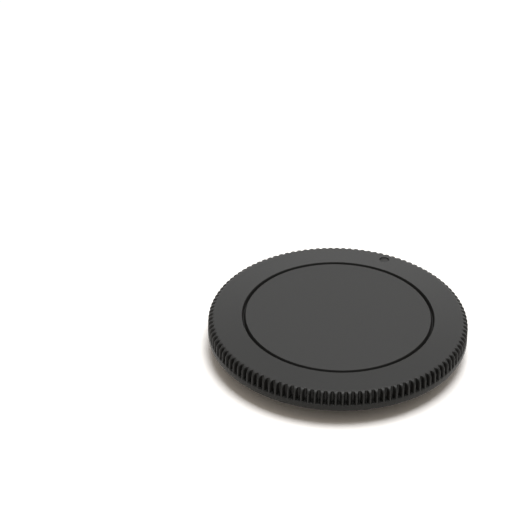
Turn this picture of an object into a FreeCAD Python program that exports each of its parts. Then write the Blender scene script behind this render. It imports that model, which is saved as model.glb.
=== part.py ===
import FreeCAD, Part
import os
from math import cos, radians, sin

# Body cap for a bayonet-mount camera: one moulded piece, standing on the end of its collar.
# Origin at the centre of the underside, +Z through the front face, +Y through the index mark.
# All sizes are in millimetres.

# The cap is laid out from the throat of the camera's mount, outwards
throat_dia = 47.0
throat_clearance = 0.25

# Collar, and the three lugs that stand out from it
lug_count = 3
lug_angle = 52.0
lug_reach = 1.5
lug_thick = 1.5
collar_wall = 1.5
collar_tail = 1.1
ramp_length = 4.0
ramp_rise = 0.6

# Ring that seats on the mount's face: its distance from the throat, and from the lugs below it
seat_margin = 1.5
seat_width = 1.6
seat_recess = 0.8
mount_gap = 1.9

# Skirt and front plate
channel_width = 1.4
skirt_wall = 2.0
rim_height = 5.1
plate_thick = 2.3

# Front: a flat disc, a V groove, and a ring that falls from the groove to the rounded edge
ring_width = 7.8
ring_fall = 0.5
groove_width = 0.75
groove_floor = 0.15
groove_depth = 0.7
edge_round = 1.4
edge_flats = 2

# Grip flutes, open through the front edge and closed above a plain band
flute_count = 119
flute_width = 1.06
flute_depth = 1.1
flute_corner = 0.3
flute_start = 2.17
band_height = 1.65

# Round index mark, near the edge
mark_dia = 2.1
mark_depth = 0.4
mark_inset = 3.6

# Bevels: foot of the rim, skirt's lip, roots of skirt and collar at the plate, collar's end and lugs
foot_bevel = 0.25
lip_bevel = 0.2
root_bevel = 0.3
tip_bevel = 0.25

# Radii from the axis
lug_r = throat_dia / 2 - throat_clearance
collar_r = lug_r - lug_reach
bore_r = collar_r - collar_wall
seat_r_in = throat_dia / 2 + seat_margin
seat_r_out = seat_r_in + seat_width
skirt_r = seat_r_out + channel_width
cap_r = skirt_r + skirt_wall
groove_r_out = cap_r - ring_width
groove_r_in = groove_r_out - groove_width
mark_r = cap_r - mark_inset

# Heights above the end of the collar
lug_low = collar_tail
lug_high = lug_low + lug_thick
seat_z = lug_high + mount_gap
foot_z = seat_z - seat_recess
front_z = foot_z + rim_height
plate_z = front_z - plate_thick
groove_z = front_z - groove_depth
flute_z = foot_z + band_height
fall_per_mm = ring_fall / ring_width
edge_top = front_z - fall_per_mm * (ring_width - edge_round)
mark_z = front_z - fall_per_mm * (ring_width - mark_inset)

origin = FreeCAD.Vector(0, 0, 0)
up = FreeCAD.Vector(0, 0, 1)


def section_face(corners):
    """Closed face in the XZ plane from corners (r, z, bevel), each cut back by its bevel on both sides."""
    points = []
    for index, (r, z, bevel) in enumerate(corners):
        here = FreeCAD.Vector(r, 0, z)
        if bevel == 0:
            points.append(here)
            continue
        last_r, last_z, _ = corners[index - 1]
        next_r, next_z, _ = corners[(index + 1) % len(corners)]
        back = FreeCAD.Vector(last_r, 0, last_z) - here
        ahead = FreeCAD.Vector(next_r, 0, next_z) - here
        points.append(here + back.normalize() * bevel)
        points.append(here + ahead.normalize() * bevel)
    return Part.Face(Part.makePolygon(points + points[:1]))


def around(shape, angle):
    """Copy of a shape turned about the cap's axis."""
    turned = shape.copy()
    turned.rotate(origin, up, angle)
    return turned


def front_edge():
    """Corners of the rounded front edge, which is a few flats from the ring to the upright side."""
    turns = [radians(90 * (1 - k / edge_flats)) for k in range(edge_flats + 1)]
    back = [edge_round * (1 - cos(turn)) for turn in turns]
    down = [edge_round * (1 - sin(turn)) for turn in turns]
    return [(cap_r - inward, edge_top - below, 0) for inward, below in zip(back, down)]


def moulded_shell():
    """Front plate, skirt, seat ring and collar, turned about the axis from one section."""
    groove_slope = (groove_width - groove_floor) / 2
    corners = [
        (0, front_z, 0),
        (groove_r_in, front_z, 0),
        (groove_r_in + groove_slope, groove_z, 0),
        (groove_r_out - groove_slope, groove_z, 0),
        (groove_r_out, front_z, 0),
        *front_edge(),
        (cap_r, foot_z, foot_bevel),
        (skirt_r, foot_z, lip_bevel),
        (skirt_r, plate_z, root_bevel),
        (seat_r_out, plate_z, 0),
        (seat_r_out, seat_z, 0),
        (seat_r_in, seat_z, 0),
        (seat_r_in, plate_z, 0),
        (collar_r, plate_z, root_bevel),
        (collar_r, 0, tip_bevel),
        (bore_r, 0, tip_bevel),
        (bore_r, plate_z, root_bevel),
        (0, plate_z, 0),
    ]
    return section_face(corners).revolve(origin, up, 360)


def bayonet_lug():
    """One lug centred on +X, with a ramp on the face that draws the cap in as it turns clockwise."""
    root_r = collar_r - collar_wall / 2
    corners = [
        (root_r, lug_low, 0),
        (lug_r, lug_low, tip_bevel),
        (lug_r, lug_high, tip_bevel),
        (root_r, lug_high, 0),
    ]
    lug = section_face(corners).revolve(origin, up, lug_angle)
    lug.rotate(origin, up, -lug_angle / 2)

    # The ramp falls from flush to its full drop at the lug's leading end, and on past it
    end_y = -lug_r * sin(radians(lug_angle / 2))
    flush = FreeCAD.Vector(0, end_y + ramp_length, lug_high)
    fallen = FreeCAD.Vector(0, end_y - ramp_length, lug_high - 2 * ramp_rise)
    clear_of_lug = up * (lug_thick + 2 * ramp_rise)
    wedge = Part.Face(Part.makePolygon([flush, fallen, fallen + clear_of_lug, flush + up * lug_thick, flush]))
    return lug.cut(wedge.extrude(FreeCAD.Vector(2 * lug_r, 0, 0)))


def flute_cutter():
    """One flute with its mouth towards +X, standing on its closed end; the corners of its floor are cut."""
    half = flute_width / 2
    floor_x = cap_r - flute_depth
    mouth_x = cap_r + flute_depth
    outline = [
        (mouth_x, -half),
        (mouth_x, half),
        (floor_x + flute_corner, half),
        (floor_x, half - flute_corner),
        (floor_x, flute_corner - half),
        (floor_x + flute_corner, -half),
    ]
    points = [FreeCAD.Vector(x, y, flute_z) for x, y in outline]
    return Part.Face(Part.makePolygon(points + points[:1])).extrude(up * rim_height)


def grip_flutes():
    """All the flutes as cutters, counted round from the first one past the index mark."""
    pitch = 360 / flute_count
    cutter = flute_cutter()
    return Part.makeCompound([around(cutter, 90 + flute_start + k * pitch) for k in range(flute_count)])


def index_mark():
    """Cutter for the flat-bottomed round mark."""
    foot = FreeCAD.Vector(0, mark_r, mark_z - mark_depth)
    return Part.makeCylinder(mark_dia / 2, 2 * mark_depth, foot, up)


def body_cap():
    lugs = [around(bayonet_lug(), 90 + k * 360 / lug_count) for k in range(lug_count)]
    whole = moulded_shell().fuse(lugs)
    return whole.cut([grip_flutes(), index_mark()])


os.makedirs("parts", exist_ok=True)
cap = body_cap()
cap.exportStep("parts/body_cap.step")
print("body_cap", cap.isValid(), len(cap.Solids), "solid", round(cap.Volume, 1), "mm3")
print("across", 2 * cap_r, "high", front_z, "rim foot at", foot_z)
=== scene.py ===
import bpy
import numpy as np
from mathutils import Matrix, Vector


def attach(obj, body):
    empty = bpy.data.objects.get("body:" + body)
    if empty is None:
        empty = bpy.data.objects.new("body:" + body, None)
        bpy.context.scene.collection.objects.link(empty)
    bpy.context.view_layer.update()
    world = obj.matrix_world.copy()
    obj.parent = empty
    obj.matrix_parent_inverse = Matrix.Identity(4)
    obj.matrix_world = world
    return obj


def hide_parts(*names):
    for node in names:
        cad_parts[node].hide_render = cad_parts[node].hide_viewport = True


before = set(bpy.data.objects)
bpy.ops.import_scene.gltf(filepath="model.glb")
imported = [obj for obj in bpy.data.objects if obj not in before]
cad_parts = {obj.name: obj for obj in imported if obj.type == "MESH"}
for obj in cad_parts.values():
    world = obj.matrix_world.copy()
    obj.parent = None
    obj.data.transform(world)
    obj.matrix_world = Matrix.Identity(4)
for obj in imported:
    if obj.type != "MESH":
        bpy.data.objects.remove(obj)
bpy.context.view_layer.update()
print("frame loaded:", sorted(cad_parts))

# Body cap for a bayonet-mount camera. Sizes are in millimetres and angles in degrees; the meshes are in metres.
# +Z goes out through the front face, and +Y goes through the index mark.
mm = 0.001
scene = bpy.context.scene


camera = {
    "distance": 750.0,        # from the middle of the front face
    "azimuth": 23.1,          # 0 looks along +Y
    "elevation": 34.86,
    "roll": 2.09,             # how far the photograph's right side hangs
    "lens": 222.75,           # on a 36 mm sensor
    "target": (0.0, 0.0, 8.8),
    "targetPixel": (338.18, 315.99),   # where the middle of the front face shows, in a 525 x 525 picture
    "picture": 525.0,
}


# The camera looks at the target from its azimuth and elevation, is rolled about that line, and is then turned by the
# smallest turn that takes the target from the middle of the picture to its pixel
def makeCamera(s):
    a, e = np.radians([s["azimuth"], s["elevation"]])
    back = np.array([np.sin(a) * np.cos(e), -np.cos(a) * np.cos(e), np.sin(e)])
    right = np.array([np.cos(a), np.sin(a), 0.0])
    down = np.cross(right, back)
    c, d = np.cos(np.radians(s["roll"])), np.sin(np.radians(s["roll"]))
    rolled = np.array([[c, -d, 0], [d, c, 0], [0, 0, 1]]) @ np.array([right, down, -back])
    focal = s["lens"] / 36 * s["picture"]
    ray = np.array([s["targetPixel"][0] - s["picture"] / 2, s["targetPixel"][1] - s["picture"] / 2, focal])
    ray = ray / np.linalg.norm(ray)
    v = np.cross([0, 0, 1], ray)
    skew = np.array([[0, -v[2], v[1]], [v[2], 0, -v[0]], [-v[1], v[0], 0]])
    aim = np.eye(3) + skew + skew @ skew / (1 + ray[2])
    axes = aim @ rolled                                  # rows: right, down and forward of the picture
    turn = Matrix(np.array([axes[0], -axes[1], -axes[2]]).T.tolist())
    place = (np.array(s["target"]) + s["distance"] * back) * mm
    data = bpy.data.cameras.new("camera")
    data.lens = s["lens"]
    data.sensor_width = 36
    data.clip_start = 0.01
    data.clip_end = 50
    eye = bpy.data.objects.new("camera", data)
    scene.collection.objects.link(eye)
    eye.matrix_world = Matrix.Translation(Vector(place.tolist())) @ turn.to_4x4()
    scene.camera = eye


makeCamera(camera)
print("camera placed")


cap = {
    # front: flat disc, V groove, ring that falls to the rounded edge
    "capR": 30.0,
    "frontZ": 8.8,
    "discR": 21.38,
    "discRings": (2.0, 10.0), # rings of vertices on the disc, and under it
    "ringR": 22.26,           # where the ring begins
    "ringFall": 0.5,          # how far its line falls on the way to capR
    "grooveZ": 7.85,
    "grooveFloor": 0.1,       # width of the V's floor
    "grooveEdge": 0.08,       # rounding of the groove's lips
    "grooveRoot": 0.03,       # and of its floor's corners
    "edgeIn": 1.5,            # rounded front edge: how far it reaches inwards
    "edgeDown": 1.2,          # and how far down the side
    "edgeSteps": 10,
    # grip flutes
    "flutes": 119,
    "fluteStart": 2.17,       # from the index mark to the first flute past it
    "fluteWidth": 1.18,       # at the mouth
    "fluteFloor": 0.56,       # at the bottom, where the walls begin
    "fluteDepth": 1.12,
    "fluteZ": 5.22,           # their closed ends
    "fluteLip": 0.1,          # how far the step at a closed end is rounded
    "fluteBlend": 0.36,       # softness of the edges of the lands and of the floor's corners
    # round index mark
    "markR": 26.6,
    "markDia": 2.3,
    "markDepth": 0.3,
    "markEdge": 0.09,         # rounding of its edge
    "markRoot": 0.12,         # and of its floor's corner
    "markSide": 12,           # the window in the face round the mark is this many columns and rows
    "windowIn": 2.0,          # how far the window reaches from the mark's middle, towards the axis
    "windowOut": 1.65,        # and away from it; its end stays on the ring, inside the rim's first row
    # rim and underside
    "footZ": 3.7,
    "footRound": 0.3,
    "skirtR": 28.0,
    "lipRound": 0.22,
    "plateZ": 6.5,
    "rootRound": 0.35,
    "seatOuter": 26.6,
    "seatInner": 25.0,
    "seatZ": 4.5,
    "seatRound": 0.12,
    "collarR": 21.75,
    "boreR": 20.25,
    "tipRound": 0.3,
    # bayonet lugs
    "lugs": 3,
    "lugR": 23.25,
    "lugLow": 1.1,
    "lugHigh": 2.6,
    "lugAngle": 52.0,
    "lugRound": 0.22,
    "lugRoot": 0.12,
    "rampLength": 4.0,
    "rampRise": 0.6,
    "faceColumns": 4,         # columns of the plain surfaces in one flute's pitch, above and below
    "underColumns": 2,
}


# Rounded outline through corners (r, z, radius, steps): each corner becomes an arc about the point that lies a radius
# from both sides, with one more point a share of the radius along each side so that flat faces stay flat when shaded
def roundedLine(corners, share=0.35):
    c = np.array(corners, float)
    here, radius, steps = c[1:-1, :2], c[1:-1, 2], c[1:-1, 3].astype(int)
    back, ahead = c[:-2, :2] - here, c[2:, :2] - here
    back /= np.linalg.norm(back, axis=1, keepdims=True)
    ahead /= np.linalg.norm(ahead, axis=1, keepdims=True)
    half = np.arccos(np.clip((back * ahead).sum(1), -1, 1)) / 2
    middle = back + ahead
    middle /= np.linalg.norm(middle, axis=1, keepdims=True)
    centre = here + middle * (radius / np.sin(half))[:, None]
    tangent = (radius / np.tan(half))[:, None]
    start, end = here + back * tangent, here + ahead * tangent
    sweep = np.pi - 2 * half
    lines = [c[:1, :2]]
    for k in range(len(here)):
        t = np.linspace(0, 1, steps[k] + 1)[:, None]
        a, b = start[k] - centre[k], end[k] - centre[k]
        arc = centre[k] + (np.sin((1 - t) * sweep[k]) * a + np.sin(t * sweep[k]) * b) / np.sin(sweep[k])
        more = share * radius[k]
        lines += [(start[k] + back[k] * more)[None], arc, (end[k] + ahead[k] * more)[None]]
    return np.vstack(lines + [c[-1:, :2]])


# Each point of an outline (r, z) goes round the axis at every angle: x = r cos(angle), y = r sin(angle)
def turned(line, angles):
    r, z = line[:, :1], line[:, 1:]
    return np.stack([r * np.cos(angles), r * np.sin(angles), z + 0 * angles], axis=-1)


# Quads between the rows of a grid of vertex numbers that closes round the axis
def ringFaces(grid):
    right = np.roll(grid, -1, axis=1)
    return np.stack([grid[:-1], grid[1:], right[1:], right[:-1]], axis=-1).reshape(-1, 4)


# Triangles that join a coarse ring to a fine one: each coarse vertex takes the fine edges on its own side, and a middle
# triangle closes the gap. Both rings lie in one plane.
def joinFaces(coarse, fine, coarseIsAbove):
    ratio = len(fine) // len(coarse)
    f = fine.reshape(-1, ratio)
    f = np.hstack([f, np.roll(f[:, :1], -1, axis=0)])
    here, there = coarse[:, None], np.roll(coarse, -1)[:, None]
    mid = ratio // 2
    left = np.stack([np.repeat(here, mid, 1), f[:, :mid], f[:, 1:mid + 1]], axis=-1).reshape(-1, 3)
    gap = np.hstack([here, f[:, mid:mid + 1], there])
    right = np.stack([np.repeat(there, ratio - mid, 1), f[:, mid:-1], f[:, mid + 1:]], axis=-1).reshape(-1, 3)
    faces = np.vstack([left, gap, right])
    return faces if coarseIsAbove else faces[:, ::-1]


# Softened lower of two values: the plain lower one, less a parabola's worth where they are within k of each other
def softLower(a, b, k):
    near = np.maximum(k - np.abs(a - b), 0) / k
    return np.minimum(a, b) - near * near * k / 4


# Height of the front face at a distance r from the axis: level as far as the groove, then falling evenly
def frontHeight(s, r):
    return s["frontZ"] - s["ringFall"] / (s["capR"] - s["ringR"]) * np.maximum(r - s["ringR"], 0)


# Angle round the axis where the columns of vertices begin: the middle of the land before the first flute
def firstAngle(s):
    return np.pi / 2 + np.radians(s["fluteStart"]) - np.pi / s["flutes"]


# Rim with its flutes. Down the rim a row has a radius S that follows the rounded front edge, the side and the foot.
# Round the rim a column keeps its distance y from the axis of its flute, and lies at the softened lower of
# sqrt(S^2 - y^2) and the flute's outline, whose flat floor goes over softly into straight walls that lean apart.
def flutedRim(s):
    pitch = 2 * np.pi / s["flutes"]
    R, half = s["capR"], s["fluteWidth"] / 2
    floorX, floorHalf = R - s["fluteDepth"], s["fluteFloor"] / 2
    side = np.array([0.0, 0.15, 0.26, 0.35, 0.43, 0.51, half + 0.02, half + 0.1])      # closest together on the wall
    y = np.concatenate([-side[:0:-1], side])             # 15 columns in the flute; the land's middle makes 16
    wall = floorX + (np.abs(y) - floorHalf) * s["fluteDepth"] / (half - floorHalf)
    outline = -softLower(-wall, np.full_like(y, -floorX), s["fluteBlend"])

    # rows: falling ring, front edge whose arc starts in line with it, side, step at the flutes' closed ends, band, foot
    slope = np.arctan(s["ringFall"] / (R - s["ringR"]))
    e, down = s["edgeIn"], s["edgeDown"]
    turn = np.linspace(np.arctan2(down, e * np.tan(slope)), 0, s["edgeSteps"] + 1)
    middleZ = frontHeight(s, R - e + e * np.cos(turn[0])) - down * np.sin(turn[0])
    edge = np.stack([R - e + e * np.cos(turn), middleZ + down * np.sin(turn)], axis=1)
    ring = np.array([[R - e - 0.1, frontHeight(s, R - e - 0.1)]])
    upper = np.array([[R, middleZ - 0.1], [R, s["fluteZ"] + 0.3]])
    step = np.array([[R, s["fluteZ"] + rise] for rise in (0.10, 0.03, 0, -0.02, -0.05, -0.12)])
    foot = roundedLine([(R, s["footZ"] + 0.6, 0, 0), (R, s["footZ"], s["footRound"], 3), (R - 0.75, s["footZ"], 0, 0)])
    rows = np.vstack([ring, edge, upper, step, foot])
    S, z = rows[:, :1], rows[:, 1:]

    # the step: its first three rows follow the flute and curl out, the next ones follow the plain side and curl in
    firstStep = len(ring) + len(edge) + len(upper)
    isClosed = np.arange(len(rows))[:, None] >= firstStep + 3
    curl = np.zeros((len(rows), 1))
    curl[firstStep + 1:firstStep + 5, 0] = s["fluteLip"] * np.array([0.3, 1, -1, -0.3])
    plain = np.sqrt(S ** 2 - y ** 2)
    cut = softLower(plain, outline[None], s["fluteBlend"])
    deep = np.clip((plain - cut) / (3 * s["fluteLip"]), 0, 1)           # 0 on the lands, where there is no step
    x = np.where(isClosed, plain, cut) + curl * deep

    # one pitch, starting at the middle of a land, then all of them
    landX, landY = S * np.cos(-pitch / 2), S * np.sin(-pitch / 2)
    px = np.hstack([landX, x])
    py = np.hstack([landY, np.broadcast_to(y, x.shape)])
    turnTo = firstAngle(s) + (np.arange(s["flutes"]) + 0.5) * pitch
    ct, st = np.cos(turnTo)[None, :, None], np.sin(turnTo)[None, :, None]
    X = px[:, None] * ct - py[:, None] * st
    Y = px[:, None] * st + py[:, None] * ct
    Z = np.broadcast_to(z[:, :, None], X.shape)
    return np.stack([X, Y, Z], axis=-1).reshape(len(rows), -1, 3)


# Collar's outer wall with its lugs. A column inside a lug follows the lug's rounded section, scaled in height where the
# ramp thins it; a column between lugs keeps the collar's radius at nearly the same heights. The two columns at each end
# of a lug are moved together, so that its end face stands square.
def collarWall(s, angles):
    top = s["plateZ"] - s["rootRound"] * 1.5
    low = s["tipRound"] * 1.5
    tipRound, rootRound = s["lugRound"], s["lugRoot"]
    lug = roundedLine([(s["collarR"], s["lugHigh"] + 0.5, 0, 0), (s["collarR"], s["lugHigh"], rootRound, 2),
                       (s["lugR"], s["lugHigh"], tipRound, 4), (s["lugR"], s["lugLow"], tipRound, 4),
                       (s["collarR"], s["lugLow"], rootRound, 2), (s["collarR"], s["lugLow"] - 0.3, 0, 0)])
    even = np.linspace(lug[0, 1], lug[-1, 1], len(lug))
    plainZ = (lug[:, 1] + even) / 2
    halfLug = np.radians(s["lugAngle"] / 2)
    share = 2 * np.pi / s["lugs"]
    local = (angles - np.pi / 2 + share / 2) % share - share / 2       # angle from the nearest lug's middle
    step = angles[1] - angles[0]
    inside = np.abs(local) <= halfLug
    edgeIn = inside & (np.abs(local) > halfLug - step)
    edgeOut = ~inside & (np.abs(local) < halfLug + step)
    gap = np.radians(0.05)                                             # half the way between those two columns
    wanted = np.where(edgeIn, halfLug - gap, np.where(edgeOut, halfLug + gap, np.abs(local)))
    moved = angles + np.sign(local) * (wanted - np.abs(local))

    # ramp: along the lug from its leading end, which is the end at the smaller angle
    along = (local + halfLug) * s["lugR"]
    thin = 1 - np.clip(1 - along / s["rampLength"], 0, 1) * s["rampRise"] / (s["lugHigh"] - s["lugLow"])
    lugZ = s["lugLow"] + (lug[:, 1:] - s["lugLow"]) * np.where(lug[:, 1:] > s["lugLow"], thin[None], 1)
    lugZ[0] = lug[0, 1]
    rounded = np.where(edgeIn[None], rootRound, 0) * (lug[:, :1] > s["collarR"] + 0.4)   # corner at the lug's end
    r = np.where(inside[None], lug[:, :1] - rounded, s["collarR"])
    nearEnd = 0.9 * lugZ + 0.1 * even[:, None]
    z = np.where(inside[None], lugZ, np.where(edgeOut[None], nearEnd, plainZ[:, None]))
    wall = np.stack([r * np.cos(moved), r * np.sin(moved), z], axis=-1)
    first = turned(np.array([[s["collarR"], top], [s["collarR"], (top + lug[0, 1]) / 2]]), angles)
    last = turned(np.array([[s["collarR"], low]]), angles)
    return np.concatenate([first, wall, last])


# Shallow round mark: rings about its own axis that begin at a loop of the front face's vertices, blend to a circle and
# follow a rounded outline over its edge, down its wall and across its floor to one point. Its edge lies on the falling
# ring and its floor is level, with the wall going over from one to the other.
def markRings(s, loop):
    n = len(loop)
    R = s["markDia"] / 2
    line = roundedLine([(R + 0.25, 0, 0, 0), (R, 0, s["markEdge"], 3), (R, -s["markDepth"], s["markRoot"], 3),
                        (0.25, -s["markDepth"], 0, 0)])
    beginX, beginY = loop[0, 0], loop[0, 1] - s["markR"]
    goesX, goesY = loop[1, :2] - loop[0, :2]
    way = -1 if goesX * beginY > goesY * beginX else 1                 # which way the loop runs round the mark
    a = np.arctan2(beginY, beginX) + way * 2 * np.pi * np.arange(n) / n
    x, y, depth = line[:, :1] * np.cos(a), s["markR"] + line[:, :1] * np.sin(a), -line[:, 1:]
    level = depth / s["markDepth"]
    z = (1 - level) * frontHeight(s, np.hypot(x, y)) + level * frontHeight(s, s["markR"]) - depth
    rings = np.stack([x, y, z], axis=-1)
    between = (loop + rings[0]) / 2
    between[:, 2] = frontHeight(s, np.hypot(between[:, 0], between[:, 1]))
    return np.concatenate([between[None], rings])


def makeCap(s):
    coarse, under = s["flutes"] * s["faceColumns"], s["flutes"] * s["underColumns"]
    angles = firstAngle(s) + 2 * np.pi * np.arange(coarse) / coarse
    underAngles = firstAngle(s) + 2 * np.pi * np.arange(under) / under
    R, front, edge = s["capR"], s["frontZ"], s["grooveEdge"]

    # front face, from the middle out to the ring's edge; the mark's window is in the last rows
    window, windowIn = s["markSide"], s["markR"] - s["windowIn"]
    slant = (s["ringR"] - s["discR"] - s["grooveFloor"]) / 2
    bottom, deepR = s["grooveZ"], s["grooveRoot"]
    groove = roundedLine([(s["discR"] - 3, front, 0, 0), (s["discR"], front, edge, 3),
                          (s["discR"] + slant, bottom, deepR, 2), (s["ringR"] - slant, bottom, deepR, 2),
                          (s["ringR"], front, edge, 3), (windowIn - 0.6, frontHeight(s, windowIn - 0.6), 0, 0)])
    disc = np.array([[r, front] for r in s["discRings"]])
    ringR = np.linspace(windowIn, s["markR"] + s["windowOut"], window + 1)
    ring = np.stack([ringR, frontHeight(s, ringR)], axis=1)
    face = turned(np.vstack([disc, groove, ring]), angles)
    firstWindow = len(disc) + len(groove)

    rim = flutedRim(s)

    # underside, from the foot in to the collar
    foot, plate, root, seat = s["footZ"], s["plateZ"], s["rootRound"], s["seatRound"]
    back = roundedLine([(R - 1.0, foot, 0, 0), (s["skirtR"], foot, s["lipRound"], 3), (s["skirtR"], plate, root, 4),
                        (s["seatOuter"], plate, root, 4), (s["seatOuter"], s["seatZ"], seat, 3),
                        (s["seatInner"], s["seatZ"], seat, 3), (s["seatInner"], plate, root, 4),
                        (s["collarR"], plate, root, 4), (s["collarR"], plate - 1, 0, 0)])[:-1]
    wall = collarWall(s, underAngles)
    tip = roundedLine([(s["collarR"], 0.6, 0, 0), (s["collarR"], 0, s["tipRound"], 4),
                       (s["boreR"], 0, s["tipRound"], 4), (s["boreR"], plate, root, 4),
                       (s["boreR"] - 2, plate, 0, 0)])[2:]
    inner = np.array([[r, plate] for r in s["discRings"][::-1]])
    below = np.concatenate([turned(back, underAngles), wall, turned(np.vstack([tip, inner]), underAngles)])

    # vertex numbers
    points = [face.reshape(-1, 3), rim.reshape(-1, 3), below.reshape(-1, 3)]
    starts = np.cumsum([0] + [len(p) for p in points])
    faceGrid = np.arange(len(points[0])).reshape(face.shape[:2])
    rimGrid = starts[1] + np.arange(len(points[1])).reshape(rim.shape[:2])
    belowGrid = starts[2] + np.arange(len(points[2])).reshape(below.shape[:2])

    # mark: its window's quads go, and rings fill the hole
    markColumn = int(round((np.pi / 2 - angles[0]) / (2 * np.pi) * coarse))
    cols = (markColumn - window // 2 + np.arange(window + 1)) % coarse
    keep = np.ones((face.shape[0] - 1, coarse), bool)
    keep[firstWindow:firstWindow + window, cols[:-1]] = False
    rowsIn = firstWindow + np.arange(window + 1)
    loop = np.concatenate([faceGrid[rowsIn[0], cols[:-1]], faceGrid[rowsIn[:-1], cols[-1]],
                           faceGrid[rowsIn[-1], cols[:0:-1]], faceGrid[rowsIn[:0:-1], cols[0]]])
    rings = markRings(s, points[0][loop])
    ringGrid = starts[3] + np.arange(rings.shape[0] * rings.shape[1]).reshape(rings.shape[:2])
    markGrid = np.vstack([loop[None], ringGrid])
    poles = starts[3] + rings.shape[0] * rings.shape[1] + np.arange(3)
    ends = np.array([[0, 0, front], [0, 0, plate], [0, s["markR"], frontHeight(s, s["markR"]) - s["markDepth"]]])
    allPoints = np.vstack(points + [rings.reshape(-1, 3), ends])

    quads = [ringFaces(faceGrid)[keep.reshape(-1)], ringFaces(rimGrid), ringFaces(belowGrid), ringFaces(markGrid)]
    last, first = belowGrid[-1], faceGrid[0]
    tris = [joinFaces(faceGrid[-1], rimGrid[0], True), joinFaces(belowGrid[0], rimGrid[-1], False),
            np.stack([np.full(coarse, poles[0]), first, np.roll(first, -1)], axis=1),
            np.stack([last, np.full(under, poles[1]), np.roll(last, -1)], axis=1),
            np.stack([markGrid[-1], np.full(rings.shape[1], poles[2]), np.roll(markGrid[-1], -1)], axis=1)]
    quads, tris = np.vstack(quads), np.vstack(tris)

    mesh = bpy.data.meshes.new("moulded_cap")
    counts = np.concatenate([np.full(len(quads), 4), np.full(len(tris), 3)])
    corners = np.concatenate([quads.reshape(-1), tris.reshape(-1)])
    mesh.vertices.add(len(allPoints))
    mesh.vertices.foreach_set("co", (allPoints * mm).astype(np.float32).reshape(-1))
    mesh.loops.add(len(corners))
    mesh.loops.foreach_set("vertex_index", corners.astype(np.int32))
    mesh.polygons.add(len(counts))
    mesh.polygons.foreach_set("loop_start", (np.cumsum(counts) - counts).astype(np.int32))
    mesh.polygons.foreach_set("loop_total", counts.astype(np.int32))
    mesh.polygons.foreach_set("use_smooth", np.ones(len(counts), bool))
    mesh.update(calc_edges=True)
    mesh.validate(verbose=True)
    piece = bpy.data.objects.new("moulded_cap", mesh)
    scene.collection.objects.link(piece)
    print("cap built:", len(quads) * 2 + len(tris), "triangles")
    return piece


mouldedCap = makeCap(cap)
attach(mouldedCap, "root")
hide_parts("body_cap")


# sRGB hex to the linear colour a shader takes: c / 12.92 below 0.04045, else ((c + 0.055) / 1.055) ^ 2.4
def fromHex(text):
    c = np.array([int(text[k:k + 2], 16) for k in (1, 3, 5)]) / 255
    return tuple(np.where(c <= 0.04045, c / 12.92, ((c + 0.055) / 1.055) ** 2.4)) + (1.0,)


# Adds a node, sets its own settings, then its inputs by name or, as in0 and in1, by number: a value, or an output of
# another node
def addNode(tree, kind, settings=None, **inputs):
    node = tree.nodes.new(kind)
    for name, value in (settings or {}).items():
        setattr(node, name, value)
    for name, value in inputs.items():
        socket = node.inputs[int(name[2:]) if name[2:].isdigit() else name.replace("_", " ")]
        if isinstance(value, bpy.types.NodeSocket):
            tree.links.new(value, socket)
        else:
            socket.default_value = value
    return node


plastic = {
    "colour": "#1b1b1a",
    "roughness": 0.43,
    "ior": 1.3,
    "grainSize": 0.16,        # mm; the real spark-eroded grain is about 0.05, too fine to show
    "grainHeight": 0.006,     # mm
    "grainStrength": 0.6,
}


# Black ABS, injection moulded in a spark-eroded cavity: an even, fine satin grain that spreads the light into a soft
# grey sheen, with hardly any difference between one place and the next
def mouldedAbs(s):
    material = bpy.data.materials.new("injection_moulded_black_abs")
    material.use_nodes = True
    tree = material.node_tree
    tree.nodes.clear()
    place = addNode(tree, "ShaderNodeTexCoord").outputs["Object"]
    grain = addNode(tree, "ShaderNodeTexNoise", {"noise_dimensions": "3D"}, Vector=place,
                    Scale=1 / (s["grainSize"] * mm), Detail=2.0, Roughness=0.55)
    bump = addNode(tree, "ShaderNodeBump", Height=grain.outputs["Fac"], Strength=s["grainStrength"],
                   Distance=s["grainHeight"] * mm)
    surface = addNode(tree, "ShaderNodeBsdfPrincipled", Base_Color=fromHex(s["colour"]), Roughness=s["roughness"],
                      IOR=s["ior"], Normal=bump.outputs["Normal"])
    addNode(tree, "ShaderNodeOutputMaterial", Surface=surface.outputs["BSDF"])
    return material


mouldedCap.data.materials.append(mouldedAbs(plastic))
print("materials made")


studio = {
    "floorSize": 6.0,         # m
    "floorColour": "#f8f8f8",
    "cardGain": 1.15,         # how much paler the card shows than it lights
    "fadeFrom": 0.09,         # m from the cap, where the floor begins to turn plain white
    "fadeTo": 0.20,           # and where it is all white
    "fill": 0.4,              # level of the white room
    "fillColour": "#fff2e2",
}


# 1 for what the camera sees, straight or in a reflection or through glass, and 0 for the light that falls on things
def lightPathMask(tree):
    path = addNode(tree, "ShaderNodeLightPath")
    seen = addNode(tree, "ShaderNodeMath", {"operation": "MAXIMUM"}, in0=path.outputs["Is Camera Ray"],
                   in1=path.outputs["Is Glossy Ray"])
    return addNode(tree, "ShaderNodeMath", {"operation": "MAXIMUM"}, in0=seen.outputs[0],
                   in1=path.outputs["Is Transmission Ray"]).outputs[0]


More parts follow.
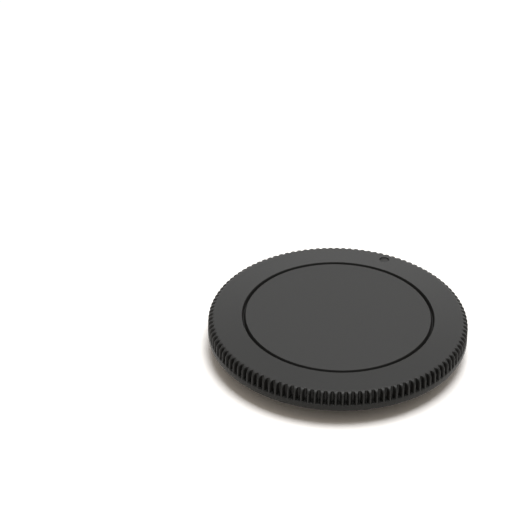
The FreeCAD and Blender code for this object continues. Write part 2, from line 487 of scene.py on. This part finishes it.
# White card: it takes the cap's shadow, and turns plain white well away from it
def makeFloor(s):
    half = s["floorSize"] / 2
    mesh = bpy.data.meshes.new("floor")
    mesh.from_pydata([(-half, -half, 0), (half, -half, 0), (half, half, 0), (-half, half, 0)], [], [(0, 1, 2, 3)])
    floor = bpy.data.objects.new("floor", mesh)
    scene.collection.objects.link(floor)
    material = bpy.data.materials.new("white_card")
    material.use_nodes = True
    tree = material.node_tree
    tree.nodes.clear()
    shown = lightPathMask(tree)
    gain = addNode(tree, "ShaderNodeMath", {"operation": "MULTIPLY_ADD"}, in0=shown, in1=s["cardGain"] - 1, in2=1.0)
    colour = addNode(tree, "ShaderNodeVectorMath", {"operation": "SCALE"}, in0=fromHex(s["floorColour"])[:3],
                     Scale=gain.outputs[0])
    card = addNode(tree, "ShaderNodeBsdfDiffuse", Color=colour.outputs[0])
    white = addNode(tree, "ShaderNodeEmission", Strength=1.0)
    place = addNode(tree, "ShaderNodeTexCoord").outputs["Object"]
    far = addNode(tree, "ShaderNodeVectorMath", {"operation": "LENGTH"}, in0=place)
    fade = addNode(tree, "ShaderNodeMapRange", {"interpolation_type": "SMOOTHSTEP"}, Value=far.outputs["Value"],
                   From_Min=s["fadeFrom"], From_Max=s["fadeTo"])
    share = addNode(tree, "ShaderNodeMath", {"operation": "MULTIPLY"}, in0=fade.outputs[0], in1=shown)
    mix = addNode(tree, "ShaderNodeMixShader", in0=share.outputs[0], in1=card.outputs[0], in2=white.outputs[0])
    addNode(tree, "ShaderNodeOutputMaterial", Surface=mix.outputs[0])
    mesh.materials.append(material)


# White room that shows at full white and lights at the fill's level
def makeWorld(s):
    world = bpy.data.worlds.new("white_room")
    scene.world = world
    world.use_nodes = True
    tree = world.node_tree
    tree.nodes.clear()
    room = addNode(tree, "ShaderNodeBackground", Color=fromHex(s["fillColour"]), Strength=s["fill"])
    white = addNode(tree, "ShaderNodeBackground", Color=(1, 1, 1, 1), Strength=1.0)
    mix = addNode(tree, "ShaderNodeMixShader", in0=lightPathMask(tree), in1=room.outputs[0], in2=white.outputs[0])
    addNode(tree, "ShaderNodeOutputWorld", Surface=mix.outputs[0])


softboxes = {
    "overhead": {"azimuth": 165, "elevation": 81, "distance": 0.9, "width": 0.62, "height": 0.48, "strength": 8.6},
    "back": {"azimuth": 190, "elevation": 21, "distance": 1.0, "width": 1.3, "height": 0.36, "strength": 1.65},
}


# A softbox hangs in a direction (azimuth as the camera's, elevation) and faces the cap; its strength is the brightness
# that a mirror would show, so the lamp's watts are strength x pi x area. Distances and sizes are in metres.
def softbox(name, azimuth, elevation, distance, width, height, strength):
    a, e = np.radians([azimuth, elevation])
    back = Vector((np.sin(a) * np.cos(e), -np.cos(a) * np.cos(e), np.sin(e)))
    data = bpy.data.lights.new(name, "AREA")
    data.shape = "RECTANGLE"
    data.size, data.size_y = width, height
    data.energy = strength * np.pi * width * height
    lamp = bpy.data.objects.new(name, data)
    scene.collection.objects.link(lamp)
    lamp.location = back * distance
    lamp.rotation_euler = back.to_track_quat("Z", "Y").to_euler()


makeFloor(studio)
makeWorld(studio)
for name, lamp in softboxes.items():
    softbox(name, **lamp)
scene.view_settings.view_transform = "Standard"
print("stage and light made")
